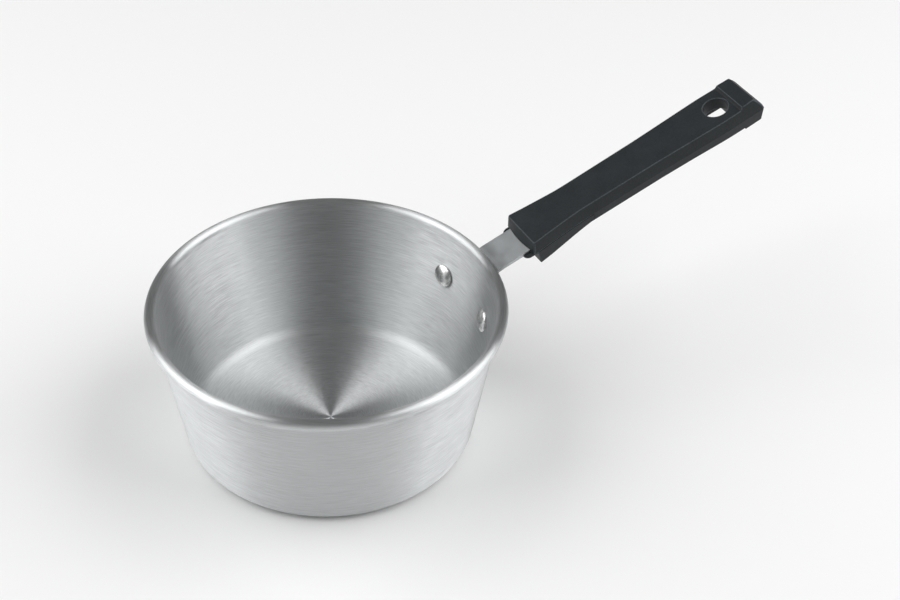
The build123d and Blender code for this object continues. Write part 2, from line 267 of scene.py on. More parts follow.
def blend(add, factor, low, high):
    """Output of a mix of two colours, each a plain colour or another node's output."""
    first, second = ((*end, 1) if isinstance(end, tuple) else end for end in (low, high))
    return add("ShaderNodeMix", {"Factor": factor, 6: first, 7: second}, data_type="RGBA").outputs[2]


def shade(colour, factor):
    """A colour made lighter or darker."""
    return tuple(min(1.0, channel * factor) for channel in colour)


def grain(add, vector, scale, detail=2.0, roughness=0.5):
    """Output of a noise texture on given coordinates."""
    sockets = {"Vector": vector, "Scale": scale, "Detail": detail, "Roughness": roughness}
    return add("ShaderNodeTexNoise", sockets).outputs[0]


def brushed_aluminium(colour):
    """Spun aluminium with fine brush lines round the axis."""
    material = bpy.data.materials.new("brushed_aluminium")
    tree, shader, add = value_nodes(material)
    place = add("ShaderNodeTexCoord").outputs["Object"]
    across = add("ShaderNodeSeparateXYZ", {0: add("ShaderNodeUVMap", uv_map="spun").outputs[0]}).outputs[0]
    split = add("ShaderNodeSeparateXYZ", {0: place})
    flat = add("ShaderNodeCombineXYZ", {0: split.outputs[0], 1: split.outputs[1]}).outputs[0]
    round_axis = add("ShaderNodeVectorMath", {0: flat}, operation="NORMALIZE").outputs[0]

    def lines(around, density, detail):
        """Noise stretched into lines round the axis."""
        sockets = {0: round_axis, "Scale": around}
        stretched = add("ShaderNodeVectorMath", sockets, operation="SCALE").outputs[0]
        parts = add("ShaderNodeSeparateXYZ", {0: stretched})
        along = maths(add, "MULTIPLY", across, density)
        sockets = {0: parts.outputs[0], 1: parts.outputs[1], 2: along}
        vector = add("ShaderNodeCombineXYZ", sockets).outputs[0]
        return grain(add, vector, scale=1.0, detail=detail, roughness=0.6)

    fine = lines(around=8.0, density=2900.0, detail=2.0)
    broad = lines(around=2.8, density=800.0, detail=3.0)
    handled = grain(add, place, scale=38.0, detail=3.0)
    broad_share = 0.22
    mixed = maths(add, "MULTIPLY_ADD", broad, broad_share, maths(add, "MULTIPLY", fine, 1 - broad_share))
    tone = spread(add, mixed, low=0, high=1, start=0.36, end=0.64)
    tree.links.new(blend(add, tone, shade(colour, 0.88), shade(colour, 1.13)), shader.inputs["Base Color"])
    brushed = spread(add, mixed, low=0.37, high=0.52, start=0.34, end=0.66)
    rough = maths(add, "ADD", brushed, spread(add, handled, low=-0.02, high=0.03))
    bead = add("ShaderNodeAttribute", attribute_name="bead").outputs["Fac"]
    bead_polish = -0.05
    tree.links.new(maths(add, "MULTIPLY_ADD", bead, bead_polish, rough), shader.inputs["Roughness"])
    bump = add("ShaderNodeBump", {"Strength": 0.45, "Distance": 0.00006, "Height": mixed}).outputs[0]
    tree.links.new(bump, shader.inputs["Normal"])
    tangent = add("ShaderNodeTangent", direction_type="UV_MAP", uv_map="spun").outputs[0]
    tree.links.new(tangent, shader.inputs["Tangent"])
    shader.inputs["Metallic"].default_value = 1.0
    shader.inputs["Anisotropic"].default_value = 0.97


def satin_metal(name, colour, rough_low, rough_high, dents=0.0, painted_rim_shade=None):
    """Metal with a fine grain and, if asked, shallow hammer marks, or a painted shade that darkens it
    towards the pan's rim between two stations.
    """
    material = bpy.data.materials.new(name)
    tree, shader, add = value_nodes(material)
    place = add("ShaderNodeTexCoord").outputs["Object"]
    fine = grain(add, place, scale=2600.0, detail=2.0)
    cloud = grain(add, place, scale=160.0, detail=4.0)
    mixed = maths(add, "MULTIPLY_ADD", cloud, 0.5, maths(add, "MULTIPLY", fine, 0.5))
    tone = spread(add, mixed, low=0, high=1, start=0.3, end=0.7)
    clean = blend(add, tone, shade(colour, 0.92), shade(colour, 1.06))
    # Painted shade: the metal is darkened towards the pan's rim to stand for the shade under the rim, with a
    # ragged edge from the noise
    if painted_rim_shade:
        unevenness = 0.003
        station = add("ShaderNodeSeparateXYZ", {0: place}).outputs[0]
        reach = maths(add, "MULTIPLY_ADD", cloud, unevenness, station)
        clean = blend(add, spread(add, reach, 0, 1, *painted_rim_shade), shade(colour, 0.45), clean)
    tree.links.new(clean, shader.inputs["Base Color"])
    rough = spread(add, mixed, rough_low, rough_high, start=0.3, end=0.7)
    tree.links.new(rough, shader.inputs["Roughness"])
    relief = add("ShaderNodeBump", {"Strength": 0.15, "Distance": 0.00003, "Height": fine}).outputs[0]
    if dents:
        marks = grain(add, place, scale=420.0, detail=1.0)
        sockets = {"Strength": dents, "Distance": 0.0004, "Height": marks, "Normal": relief}
        relief = add("ShaderNodeBump", sockets).outputs[0]
    tree.links.new(relief, shader.inputs["Normal"])
    shader.inputs["Metallic"].default_value = 1.0


def grained_phenolic(colour):
    """Dark moulded plastic with a fine satin grain, and a painted highlight on its rubbed edges."""
    material = bpy.data.materials.new("grained_phenolic")
    tree, shader, add = value_nodes(material)
    place = add("ShaderNodeTexCoord").outputs["Object"]
    fine = grain(add, place, scale=1500.0, detail=3.0, roughness=0.65)
    cloud = grain(add, place, scale=90.0, detail=4.0)
    cloud_share = 0.3
    mixed = maths(add, "MULTIPLY_ADD", cloud, cloud_share, maths(add, "MULTIPLY", fine, 1 - cloud_share))
    tone = spread(add, mixed, low=0, high=1, start=0.35, end=0.65)
    plain = blend(add, tone, shade(colour, 0.72), shade(colour, 1.3))
    # Rubbed edges get a smoother polish and a painted highlight, a colour about three times lighter than the
    # plastic
    edge = add("ShaderNodeAttribute", attribute_name="worn_and_highlit_edge").outputs["Fac"]
    painted_edge_highlight = maths(add, "MULTIPLY", edge, spread(add, mixed, low=0.25, high=1, start=0.3, end=0.6))
    tree.links.new(blend(add, painted_edge_highlight, plain, shade(colour, 3.2)), shader.inputs["Base Color"])
    edge_polish = -0.12
    moulded = spread(add, mixed, low=0.40, high=0.54, start=0.3, end=0.7)
    tree.links.new(maths(add, "MULTIPLY_ADD", edge, edge_polish, moulded), shader.inputs["Roughness"])
    bump = add("ShaderNodeBump", {"Strength": 0.4, "Distance": 0.00006, "Height": fine}).outputs[0]
    tree.links.new(bump, shader.inputs["Normal"])
    shader.inputs["Specular IOR Level"].default_value = 0.22


def finish_piece(name, builder, finish, node, sharp_from=None):
    """Turn a finished bmesh into a piece that rides on the frame and stands for its CAD node."""
    mesh = bpy.data.meshes.new(name)
    builder.to_mesh(mesh)
    builder.free()
    mesh.shade_smooth()
    if sharp_from:
        mesh.set_sharp_from_angle(angle=radians(sharp_from))
    mesh.materials.append(bpy.data.materials[finish])
    piece = bpy.data.objects.new(name, mesh)
    bpy.context.scene.collection.objects.link(piece)
    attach(piece, "root")
    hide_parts(node)
    # Large faces set the shading, so that flat faces stay flat beside rounded edges
    weighted = piece.modifiers.new("weighted_normals", "WEIGHTED_NORMAL")
    weighted.keep_sharp = True
    weighted.weight = 50
    return piece


class SectionPen:
    """Draws a half section in the XZ plane as joined edges, with arcs made by spinning a point."""

    def __init__(self, builder, start):
        self.builder = builder
        self.tip = self.start = builder.verts.new((start[0], 0, start[1]))

    def line(self, end, cuts=0):
        """Draw a straight edge to a point, cut into equal lengths."""
        start = self.tip.co.copy()
        goal = Vector((end[0], 0, end[1]))
        for step in range(cuts + 1):
            point = self.builder.verts.new(start.lerp(goal, (step + 1) / (cuts + 1)))
            self.builder.edges.new((self.tip, point))
            self.tip = point

    def arc(self, centre, turn, steps):
        """Turn the tip about a centre; a positive turn takes +X towards +Z."""
        made = bmesh.ops.spin(
            self.builder,
            geom=[self.tip],
            cent=(centre[0], 0, centre[1]),
            axis=(0, -1, 0),
            angle=turn,
            steps=steps,
            use_merge=False,
            use_duplicate=False,
        )
        self.tip = made["geom_last"][0]

    def close(self):
        """Join the tip to the start."""
        self.builder.edges.new((self.tip, self.start))


def revolve_section(builder, steps):
    """Spin the drawn section once round Z and close it."""
    bmesh.ops.spin(
        builder,
        geom=builder.verts[:] + builder.edges[:],
        cent=(0, 0, 0),
        axis=(0, 0, 1),
        angle=2 * pi,
        steps=steps,
        use_merge=True,
        use_duplicate=False,
    )
    bmesh.ops.remove_doubles(builder, verts=builder.verts[:], dist=TOUCH)
    bmesh.ops.recalc_face_normals(builder, faces=builder.faces[:])


def bent_edges(builder, degrees):
    """Edges whose two faces meet at more than an angle."""
    return [edge for edge in builder.edges if edge.calc_face_angle(0) > radians(degrees)]


def round_off(builder, parts, radius, segments, affect="EDGES"):
    """Bevel edges, or the corners of a flat face, with a round profile."""
    bmesh.ops.bevel(
        builder,
        geom=parts,
        offset=radius,
        offset_type="OFFSET",
        affect=affect,
        segments=segments,
        profile=0.5,
        material=-1,
        clamp_overlap=False,
    )


def corner_near(builder, spot):
    """The vertex nearest to a spot."""
    return min(builder.verts, key=lambda vert: (vert.co - Vector(spot)).length)


def slice_across(builder, axis, values):
    """Cut the mesh by planes square to an axis."""
    normal = Vector([float(axis == index) for index in range(3)])
    for value in values:
        bmesh.ops.bisect_plane(
            builder,
            geom=builder.verts[:] + builder.edges[:] + builder.faces[:],
            dist=TOUCH,
            plane_co=normal * value,
            plane_no=normal,
        )


def merge(builder, other, operation):
    """Join another bmesh to this one, or cut it away, and free it."""
    holders = []
    for source in (builder, other):
        mesh = bpy.data.meshes.new("shaping")
        source.to_mesh(mesh)
        holders.append(bpy.data.objects.new("shaping", mesh))
        bpy.context.scene.collection.objects.link(holders[-1])
    change = holders[0].modifiers.new("shaping", "BOOLEAN")
    change.operation = operation
    change.solver = "EXACT"
    change.object = holders[1]
    shaped = bpy.data.meshes.new_from_object(
        holders[0].evaluated_get(bpy.context.evaluated_depsgraph_get())
    )
    builder.clear()
    builder.from_mesh(shaped)
    other.free()
    bpy.data.meshes.remove(shaped)
    for holder in holders:
        mesh = holder.data
        bpy.data.objects.remove(holder)
        bpy.data.meshes.remove(mesh)
    if not builder.faces:
        raise RuntimeError("Shaping left nothing of the piece")


class WallLines:
    """The bead's centre, the wall's lean, and directions up the wall and off its outer face."""

    def __init__(self, pan):
        rim_radius = pan.rim_diameter / 2
        self.bead_radius = pan.bead_diameter / 2
        self.base_edge = rim_radius - pan.wall_flare
        self.bead = Vector((rim_radius - self.bead_radius, pan.height - self.bead_radius))
        reach = self.bead - Vector((self.base_edge, 0))
        self.lean = atan2(reach.y, reach.x) + asin((self.bead_radius - pan.wall) / reach.length)
        self.up_wall = Vector((cos(self.lean), sin(self.lean)))
        self.off_wall = Vector((sin(self.lean), -cos(self.lean)))

    def radius_at(self, level):
        """Radius of the wall's outer face at a level."""
        return self.base_edge + level / tan(self.lean)


def mark_section(builder):
    """Store each section point's distance along the section, which its ring keeps when it is spun."""
    layer = builder.verts.layers.float.new("section")
    ends = [vert for vert in builder.verts if len(vert.link_edges) == 1]
    tip = min(ends, key=lambda vert: vert.co.z)
    done, walked, last = set(), 0.0, None
    while tip is not None:
        if last is not None:
            walked += (tip.co - last.co).length
        tip[layer] = walked
        done.add(tip)
        last = tip
        following = [edge.other_vert(tip) for edge in tip.link_edges]
        tip = next((vert for vert in following if vert not in done), None)


def brush_map(builder):
    """UV map of a spun piece: U runs across the brush lines and V runs round the axis."""
    layer = builder.loops.layers.uv.new("spun")
    along = builder.verts.layers.float["section"]
    metres_per_radian = 0.05
    for face in builder.faces:
        middle = face.calc_center_median()
        about = atan2(middle.y, middle.x)
        for loop in face.loops:
            spot = loop.vert.co
            at_pole = hypot(spot.x, spot.y) < NEAR
            angle = about if at_pole else atan2(spot.y, spot.x)
            angle += 2 * pi * round((about - angle) / (2 * pi))
            loop[layer].uv = (loop.vert[along], angle * metres_per_radian)


def mark_bead(builder, lines):
    """Mark the rings of the rolled rim, whose polish is brighter."""
    layer = builder.verts.layers.float.new("bead")
    slack = 1e-5
    for vert in builder.verts:
        reach = hypot(hypot(vert.co.x, vert.co.y) - lines.bead.x, vert.co.z - lines.bead.y)
        vert[layer] = float(reach < lines.bead_radius + slack)


class MILKPAN_OT_pan_body(bpy.types.Operator):
    """Spin the pan's wall, floor and rolled rim"""

    bl_idname = "milkpan.pan_body"
    bl_label = "Pan Body"
    bl_options = {"REGISTER", "UNDO"}

    def execute(self, context):
        pan = context.scene.milkpan_pan
        lines = WallLines(pan)
        lean = lines.lean
        outer = pan.corner_radius
        inner = outer - pan.wall
        floor = pan.floor_thickness
        builder = bmesh.new()
        pen = SectionPen(builder, (0, 0))
        outer_centre = Vector((lines.base_edge - outer * tan(lean / 2), outer))
        pen.line((outer_centre.x, 0), cuts=11)
        pen.arc(outer_centre, lean, steps=14)
        sunk = lines.bead_radius - pan.wall
        drop = sqrt(lines.bead_radius**2 - sunk**2)
        pen.line(lines.bead - sunk * lines.off_wall - drop * lines.up_wall, cuts=15)
        pen.arc(lines.bead, 2 * pi - atan2(drop, sunk), steps=36)
        inner_edge = lines.radius_at(floor) - pan.wall / sin(lean)
        inner_centre = Vector((inner_edge - inner * tan(lean / 2), floor + inner))
        pen.line(inner_centre + inner * lines.off_wall, cuts=15)
        pen.arc(inner_centre, -lean, steps=12)
        pen.line((0, floor), cuts=23)
        mark_section(builder)
        revolve_section(builder, steps=288)
        brush_map(builder)
        mark_bead(builder, lines)
        finish_piece("pan", builder, "brushed_aluminium", "pan_body")
        return {"FINISHED"}


def rivet_places(pan, rivets):
    """Matrices that put a rivet's axis through the wall, one on each side of the handle."""
    lines = WallLines(pan)
    level = pan.height - rivets.drop
    radius = lines.radius_at(level)
    half_angle = asin(rivets.spacing / 2 / radius)
    places = []
    for turn in (-half_angle, half_angle):
        tangent = Vector((-sin(turn), cos(turn), 0))
        out, down = lines.off_wall
        axis = Vector((out * cos(turn), out * sin(turn), down))
        place = Matrix((tangent, axis.cross(tangent), axis)).transposed().to_4x4()
        place.translation = (radius * cos(turn), radius * sin(turn), level)
        places.append(place)
    return places


def dome_radius(half_width, rise):
    """Radius of a shallow dome of a given half width and rise."""
    return (half_width**2 + rise**2) / (2 * rise)


class MILKPAN_OT_rivets(bpy.types.Operator):
    """Spin the two rivets and set them through the wall"""

    bl_idname = "milkpan.rivets"
    bl_label = "Rivets"
    bl_options = {"REGISTER", "UNDO"}

    def execute(self, context):
        pan = context.scene.milkpan_pan
        rivets = context.scene.milkpan_rivets
        wall_radius = WallLines(pan).radius_at(pan.height - rivets.drop)
        head = rivets.head_diameter / 2
        tail = rivets.tail_diameter / 2
        shank = rivets.shank_diameter / 2
        seat = -pan.wall - head**2 / (2 * (wall_radius - pan.wall))
        head_dome = dome_radius(head, rivets.head_height - rivets.head_rim)
        tail_dome = dome_radius(tail, rivets.tail_height - rivets.tail_rim)
        head_top = seat - rivets.head_height
        tail_top = rivets.plate + rivets.tail_height
        for side, place in zip(("left", "right"), rivet_places(pan, rivets)):
            builder = bmesh.new()
            pen = SectionPen(builder, (0, head_top))
            pen.arc((0, head_top + head_dome), asin(head / head_dome), steps=14)
            pen.line((head, seat))
            pen.line((shank, seat))
            pen.line((shank, rivets.plate))
            pen.line((tail, rivets.plate))
            pen.line((tail, rivets.plate + rivets.tail_rim))
            pen.arc((0, tail_top - tail_dome), asin(tail / tail_dome), steps=10)
            revolve_section(builder, steps=64)
            round_off(builder, bent_edges(builder, 35), rivets.edge_round, segments=4)
            bmesh.ops.transform(builder, matrix=place, verts=builder.verts[:])
            finish_piece(side + "_rivet", builder, "rivet_metal", "rivet_" + side)
        return {"FINISHED"}


def handle_place(pan, handle):
    """Matrix from the handle's stations, widths and levels to the pan's frame."""
    along = Vector((cos(handle.slope), 0, sin(handle.slope)))
    upward = Vector((-sin(handle.slope), 0, cos(handle.slope)))
    place = Matrix((along, Vector((0, 1, 0)), upward)).transposed().to_4x4()
    place.translation = Vector((pan.rim_diameter / 2, 0, pan.height)) + along * handle.gap
    return place


def upright_edges(builder, station, half):
    """Upright edges at a station, at both sides of a straight block."""
    return [
        edge
        for edge in builder.edges
        if all(
            abs(vert.co.x - station) < TOUCH and abs(abs(vert.co.y) - half) < TOUCH for vert in edge.verts
        )
        and abs(edge.verts[0].co.y - edge.verts[1].co.y) < TOUCH
    ]


def block(start, end, width, top, low, end_round=0.0, start_round=0.0, low_round=0.0):
    """A block between two stations and two depths, with round corners in plan if asked."""
    builder = bmesh.new()
    bmesh.ops.create_cube(builder, size=1)
    for vert in builder.verts:
        vert.co = (
            end if vert.co.x > 0 else start,
            width * vert.co.y,
            -top if vert.co.z > 0 else -low,
        )
    for station, radius in ((end, end_round), (start, start_round)):
        if radius:
            round_off(builder, upright_edges(builder, station, width / 2), radius, segments=8)
    if low_round:
        low_edges = [
            edge for edge in builder.edges if all(vert.co.z < TOUCH - low for vert in edge.verts)
        ]
        round_off(builder, low_edges, low_round, segments=5)
    return builder


def half_width(handle, station):
    """Half of the handle's width at its widest level, with the bends in its sides rounded."""
    stations = (0.0, handle.waist_at, handle.neck_at, handle.rear_at, handle.long)
    widths = (handle.front_width, handle.waist_width, handle.neck_width, handle.rear_width, handle.end_width)
    slopes = [(widths[i + 1] - widths[i]) / (stations[i + 1] - stations[i]) / 2 for i in range(4)]
    part = sum(station > bend for bend in stations[1:4])
    half = widths[part] / 2 + slopes[part] * (station - stations[part])
    for bend in (1, 2, 3):
        turn = slopes[bend] - slopes[bend - 1]
        reach = handle.side_blend * abs(turn) / 2
        inside = reach - abs(station - stations[bend])
        if inside > 0:
            half += turn * inside**2 / (4 * reach)
    return half


def taper(handle, spot, rigid=0.003, fade=0.007):
    """Draw a point of the straight bar in by the bevel above its widest level or the draft below.

    The rake of an end moves all that is nearer to it than the rigid length, and fades out beyond that.
    """
    rise = (spot.z + handle.bevel_depth) / handle.bevel_depth
    fall = -(spot.z + handle.bevel_depth) / (handle.block_depth - handle.bevel_depth)
    half = half_width(handle, min(max(spot.x, 0.0), handle.long))
    ahead = max(0.0, 1 - spot.x / handle.waist_at)
    run = handle.bevel_run + ahead * (handle.front_bevel_run - handle.bevel_run)
    inset = run * rise if rise >= 0 else handle.side_draft * fall
    across = min(1.0, abs(spot.y) / half)
    front = min(1.0, max(0.0, (rigid + fade - spot.x) / fade))
    back = min(1.0, max(0.0, (rigid + fade - handle.long + spot.x) / fade))
    rake = max(rise, 0.0) * (handle.front_rake + handle.nose_bulge * (1 - across**2))
    shift = handle.end_rake * rise**1.5 if rise >= 0 else handle.end_draft * fall
    return Vector((spot.x + front * rake - back * shift, spot.y * (1 - inset / half), spot.z))


# Stations of the handle's cross cuts, close together where its sides bend and its ends are drawn in
BEND_CUTS = (
    *(0.0215 + 0.0021 * step for step in range(11)),
    *(0.116 + 0.002 * step for step in range(6)),
)
PLAIN_CUTS = (0.06, 0.077, 0.08, 0.083, 0.1, 0.137)
FRONT_CUT = 0.01
END_CUT = 0.0045

# Shares of the bevel's depth at which its faces are cut, so that they can curve
BEVEL_SHARES = (1, 0.76, 0.54, 0.34, 0.16)


def handle_bar(handle, low, profile, round_front):
    """The handle's whole form between a level and a top profile, with its corners rounded."""
    builder = bmesh.new()
    bmesh.ops.create_cube(builder, size=2)
    for vert in builder.verts:
        vert.co = (handle.long * (vert.co.x + 1) / 2, vert.co.y, 0.0 if vert.co.z > 0 else low)
    slice_across(builder, 0, [FRONT_CUT, *BEND_CUTS, *PLAIN_CUTS, handle.long - END_CUT])
    slice_across(builder, 0, [station for station, level in profile[1:-1]])
    for quarter in range(-3, 4):
        nose = [face for face in builder.faces if face.calc_center_median().x < TOUCH]
        sides = {edge for face in nose for edge in face.edges}
        corners = {vert for face in nose for vert in face.verts}
        bmesh.ops.bisect_plane(
            builder,
            geom=[*nose, *sides, *corners],
            dist=TOUCH,
            plane_co=(0, quarter / 4, 0),
            plane_no=(0, 1, 0),
        )
    front_edges = upright_edges(builder, 0, 1)
    end_edges = upright_edges(builder, handle.long, 1)
    for vert in builder.verts:
        side = vert.co.y
        vert.co.y *= half_width(handle, vert.co.x)
        if vert.co.x < TOUCH:
            vert.co.x = -handle.nose_bulge * (1 - side**2)
    round_off(builder, end_edges, handle.end_corner, segments=6)
    if round_front:
        round_off(builder, front_edges, handle.front_corner, segments=6)
    if profile[0][1] > -handle.bevel_depth > low:
        slice_across(builder, 2, [-handle.bevel_depth * share for share in BEVEL_SHARES])
    for vert in builder.verts:
        start = vert.co.copy()
        if start.z > -TOUCH:
            # The rake moves a top point along the profile, so its level is found in a few rounds
            start.z = profile[0][1]
            for _ in range(4):
                start.z = level_at(profile, taper(handle, start).x)
        vert.co = taper(handle, start)
    bmesh.ops.recalc_face_normals(builder, faces=builder.faces[:])
    builder.normal_update()
    return builder


def level_at(profile, station):
    """Level of a side profile at a station."""
    for (from_station, from_level), (to_station, to_level) in zip(profile, profile[1:]):
        if station <= to_station:
            share = (station - from_station) / (to_station - from_station)
            return from_level + max(0.0, share) * (to_level - from_level)
    return profile[-1][1]


def top_profile(handle):
    """Stations and levels of the top, with both corners of the step rounded."""
    step_top = handle.block_at + handle.step_run
    corners = [(0, 0), (handle.block_at, 0), (step_top, handle.step_rise), (handle.long, handle.crest)]
    builder = side_view([*corners, (handle.long, -handle.depth), (0, -handle.depth)])
    turn = atan2(handle.step_rise, handle.step_run)
    for station, level in corners[1:3]:
        corner = corner_near(builder, (station, -1, level))
        round_off(builder, [corner], handle.step_round * tan(turn / 2), segments=4, affect="VERTICES")
    profile = sorted((vert.co.x, vert.co.z) for vert in builder.verts if vert.co.z > -handle.depth / 2)
    builder.free()
    return profile


def side_view(points):
    """A bmesh with one face in the side view, one unit to the right of the middle."""
    builder = bmesh.new()
    builder.faces.new([builder.verts.new((station, -1, level)) for station, level in points])
    return builder


def widen(builder):
    """Extrude the side view to one unit on the other side."""
    made = bmesh.ops.extrude_face_region(builder, geom=builder.faces[:])
    moved = [item for item in made["geom"] if isinstance(item, bmesh.types.BMVert)]
    bmesh.ops.translate(builder, verts=moved, vec=(0, 2, 0))
    bmesh.ops.recalc_face_normals(builder, faces=builder.faces[:])


def between(builder, first, second):
    """Edges between a face that passes one test and a face that passes another."""
    found = []
    for edge in builder.edges:
        if len(edge.link_faces) == 2:
            one, two = edge.link_faces
            if (first(one) and second(two)) or (first(two) and second(one)):
                found.append(edge)
    return found


def core_depth(handle, bracket):
    """Depth of the plane under the strip, where the lower shell's tray meets the upper shell."""
    return handle.strip_depth + bracket.plate


def hole_cutter(handle, bracket):
    """A round cutter for the hanging hole, flared where it meets the top and the underside."""
    radius = handle.hole_diameter / 2
    flare = handle.hole_edge_round
    ceiling = -core_depth(handle, bracket)
    builder = bmesh.new()
    pen = SectionPen(builder, (0, -handle.depth - HOLE_OVERRUN))
    pen.line((radius + flare, -handle.depth - HOLE_OVERRUN))
    pen.line((radius + flare, ceiling))
    pen.arc((radius + flare, ceiling + flare), -pi / 2, steps=4)
    pen.line((radius, -flare))
    pen.arc((radius + flare, -flare), -pi / 2, steps=4)
    pen.line((radius + flare, HOLE_OVERRUN))
    pen.line((0, HOLE_OVERRUN))
    revolve_section(builder, steps=72)
    bmesh.ops.translate(builder, verts=builder.verts[:], vec=(handle.hole_at, 0, 0))
    return builder


# Rounded edges narrower than this are rubbed smooth and get a painted highlight
HIGHLIT_WORN_WIDTH = 0.0005


def moulded_piece(name, builder, context, node):
    """Mark a handle shell's rubbed edges, which get a painted highlight, and place it in the pan's frame."""
    handle = context.scene.milkpan_handle
    place = handle_place(context.scene.milkpan_pan, handle)
    builder.normal_update()
    builder.edges.index_update()
    # Narrow rounded strips are marked for a smoother polish and a painted highlight
    worn_highlit = builder.faces.layers.float.new("worn_and_highlit_edge")
    for face in builder.faces:
        sides = sorted(face.edges, key=lambda edge: edge.calc_length())[-2:]
        bent = all(edge.is_convex and edge.calc_face_angle(0) > radians(8) for edge in sides)
        narrow = face.calc_area() < HIGHLIT_WORN_WIDTH * sides[-1].calc_length()
        face[worn_highlit] = float(bent and narrow)
    crease = [
        edge.index
        for edge in bent_edges(builder, 5)
        if all(abs(vert.co.z + handle.bevel_depth) < NEAR for vert in edge.verts)
    ]
    bmesh.ops.transform(builder, matrix=place, verts=builder.verts[:])
    piece = finish_piece(name, builder, "grained_phenolic", node, sharp_from=33)
    for index in crease:
        piece.data.edges[index].use_edge_sharp = True


class MILKPAN_OT_upper_shell(bpy.types.Operator):
    """Shape the upper shell with its bevel, end block, channel and hanging hole"""

    bl_idname = "milkpan.upper_shell"
    bl_label = "Upper Shell"
    bl_options = {"REGISTER", "UNDO"}

    def execute(self, context):
        handle = context.scene.milkpan_handle
        bracket = context.scene.milkpan_bracket
        builder = handle_bar(handle, -handle.block_depth, top_profile(handle), round_front=True)
        top_edges = between(builder, lambda face: face.normal.z > 0.6, lambda face: face.normal.z < 0.5)
        round_off(builder, top_edges, handle.top_edge_round, segments=4)
        below_seam = block(-CUT_AHEAD, handle.seam_end, CUT_ACROSS, handle.seam_depth, CUT_BELOW)
        merge(builder, below_seam, "DIFFERENCE")
        slope_from = 0.1
        underside = side_view(
            [
                (handle.seam_end / 2, -handle.depth),
                (slope_from, -handle.depth),
                (handle.block_at, -handle.rear_depth),
                (handle.block_at, -CUT_BELOW),
                (handle.seam_end / 2, -CUT_BELOW),
            ]
        )
        widen(underside)
        merge(builder, underside, "DIFFERENCE")
        builder.normal_update()
        low_edges = between(
            builder,
            lambda face: face.normal.z < -0.9 and face.calc_center_median().x > handle.seam_end,
            lambda face: abs(face.normal.y) > 0.3 or face.normal.x > 0.3,
        )
        round_off(builder, low_edges, handle.low_edge_round, segments=4)
        channel = handle.tray_width + 2 * handle.slip
        core = core_depth(handle, bracket)
        hollow = block(handle.seam_end - LAP, handle.block_at, channel, core, CUT_BELOW)
        merge(builder, hollow, "DIFFERENCE")
        strip = bracket.strip_width + 2 * handle.slip
        pocket = block(
            -CUT_AHEAD, handle.strip_end + handle.slip, strip, handle.strip_depth - handle.slip, CUT_BELOW
        )
        merge(builder, pocket, "DIFFERENCE")
        merge(builder, hole_cutter(handle, bracket), "DIFFERENCE")
        moulded_piece("upper_shell", builder, context, "handle_upper_shell")
        return {"FINISHED"}


class MILKPAN_OT_lower_shell(bpy.types.Operator):
    """Shape the lower shell with its lip, skirt, tray and screw wells"""

    bl_idname = "milkpan.lower_shell"
    bl_label = "Lower Shell"
    bl_options = {"REGISTER", "UNDO"}

    def execute(self, context):
        handle = context.scene.milkpan_handle
        screws = context.scene.milkpan_fasteners
        bracket = context.scene.milkpan_bracket
        front = handle.lower_front
        seam_low = handle.seam_depth + handle.seam_gap
        back = handle.seam_end - handle.slip
        core = core_depth(handle, bracket)
        flat = [(0.0, -handle.bevel_depth), (handle.long, -handle.bevel_depth)]
        builder = handle_bar(handle, -handle.nose_depth, flat, round_front=False)
        outline = side_view(
            [
                (front, -seam_low),
                (back, -seam_low),
                (back, -handle.depth),
                (handle.skirt_length, -handle.depth),
                (handle.skirt_mid_at, -handle.skirt_mid_depth),
                (front, -handle.nose_depth),
            ]
        )
        nose = corner_near(outline, (front, -1, -handle.nose_depth))
        round_off(outline, [nose], handle.low_edge_round, segments=4, affect="VERTICES")
        widen(outline)
        merge(builder, outline, "INTERSECT")
        builder.normal_update()
        rim = between(
            builder,
            lambda face: abs(face.normal.y) > 0.9,
            lambda face: face.normal.z < -0.5 or (face.normal.x < -0.5 and abs(face.normal.y) < 0.5),
        )
        round_off(builder, rim, handle.low_edge_round, segments=4)
        lip = block(
            front - handle.lip_reach,
            front + LAP,
            handle.lip_width,
            seam_low,
            handle.lip_depth,
            start_round=handle.lip_corner,
            low_round=handle.lip_edge_round,
        )
        merge(builder, lip, "UNION")
        channel = handle.tray_width + 2 * handle.slip
        hollow = block(front - LAP, handle.seam_end + LAP, channel, 0.0, core)
        merge(builder, hollow, "DIFFERENCE")
        strip = bracket.strip_width + 2 * handle.slip
        pocket = block(-CUT_AHEAD, handle.strip_end + handle.slip, strip, 0.0, core)
        merge(builder, pocket, "DIFFERENCE")
        tray = block(
            front,
            handle.tray_end,
            handle.tray_width,
            core,
            handle.depth - handle.slip,
            end_round=handle.tray_corner,
            low_round=handle.tray_edge_round,
        )
        merge(builder, tray, "UNION")
        for station in (screws.front_at, screws.rear_at):
            for diameter, top in (
                (screws.screw_diameter, 0.0),
                (screws.head_diameter, core + screws.web),
            ):
                well = bmesh.new()
                radius = diameter / 2 + screws.play
                bmesh.ops.create_cone(
                    well, cap_ends=True, segments=48, radius1=radius, radius2=radius, depth=CUT_BELOW - top
                )
                middle = (station, 0, -(CUT_BELOW + top) / 2)
                bmesh.ops.translate(well, verts=well.verts[:], vec=middle)
                merge(builder, well, "DIFFERENCE")
        moulded_piece("lower_shell", builder, context, "handle_lower_shell")
        return {"FINISHED"}


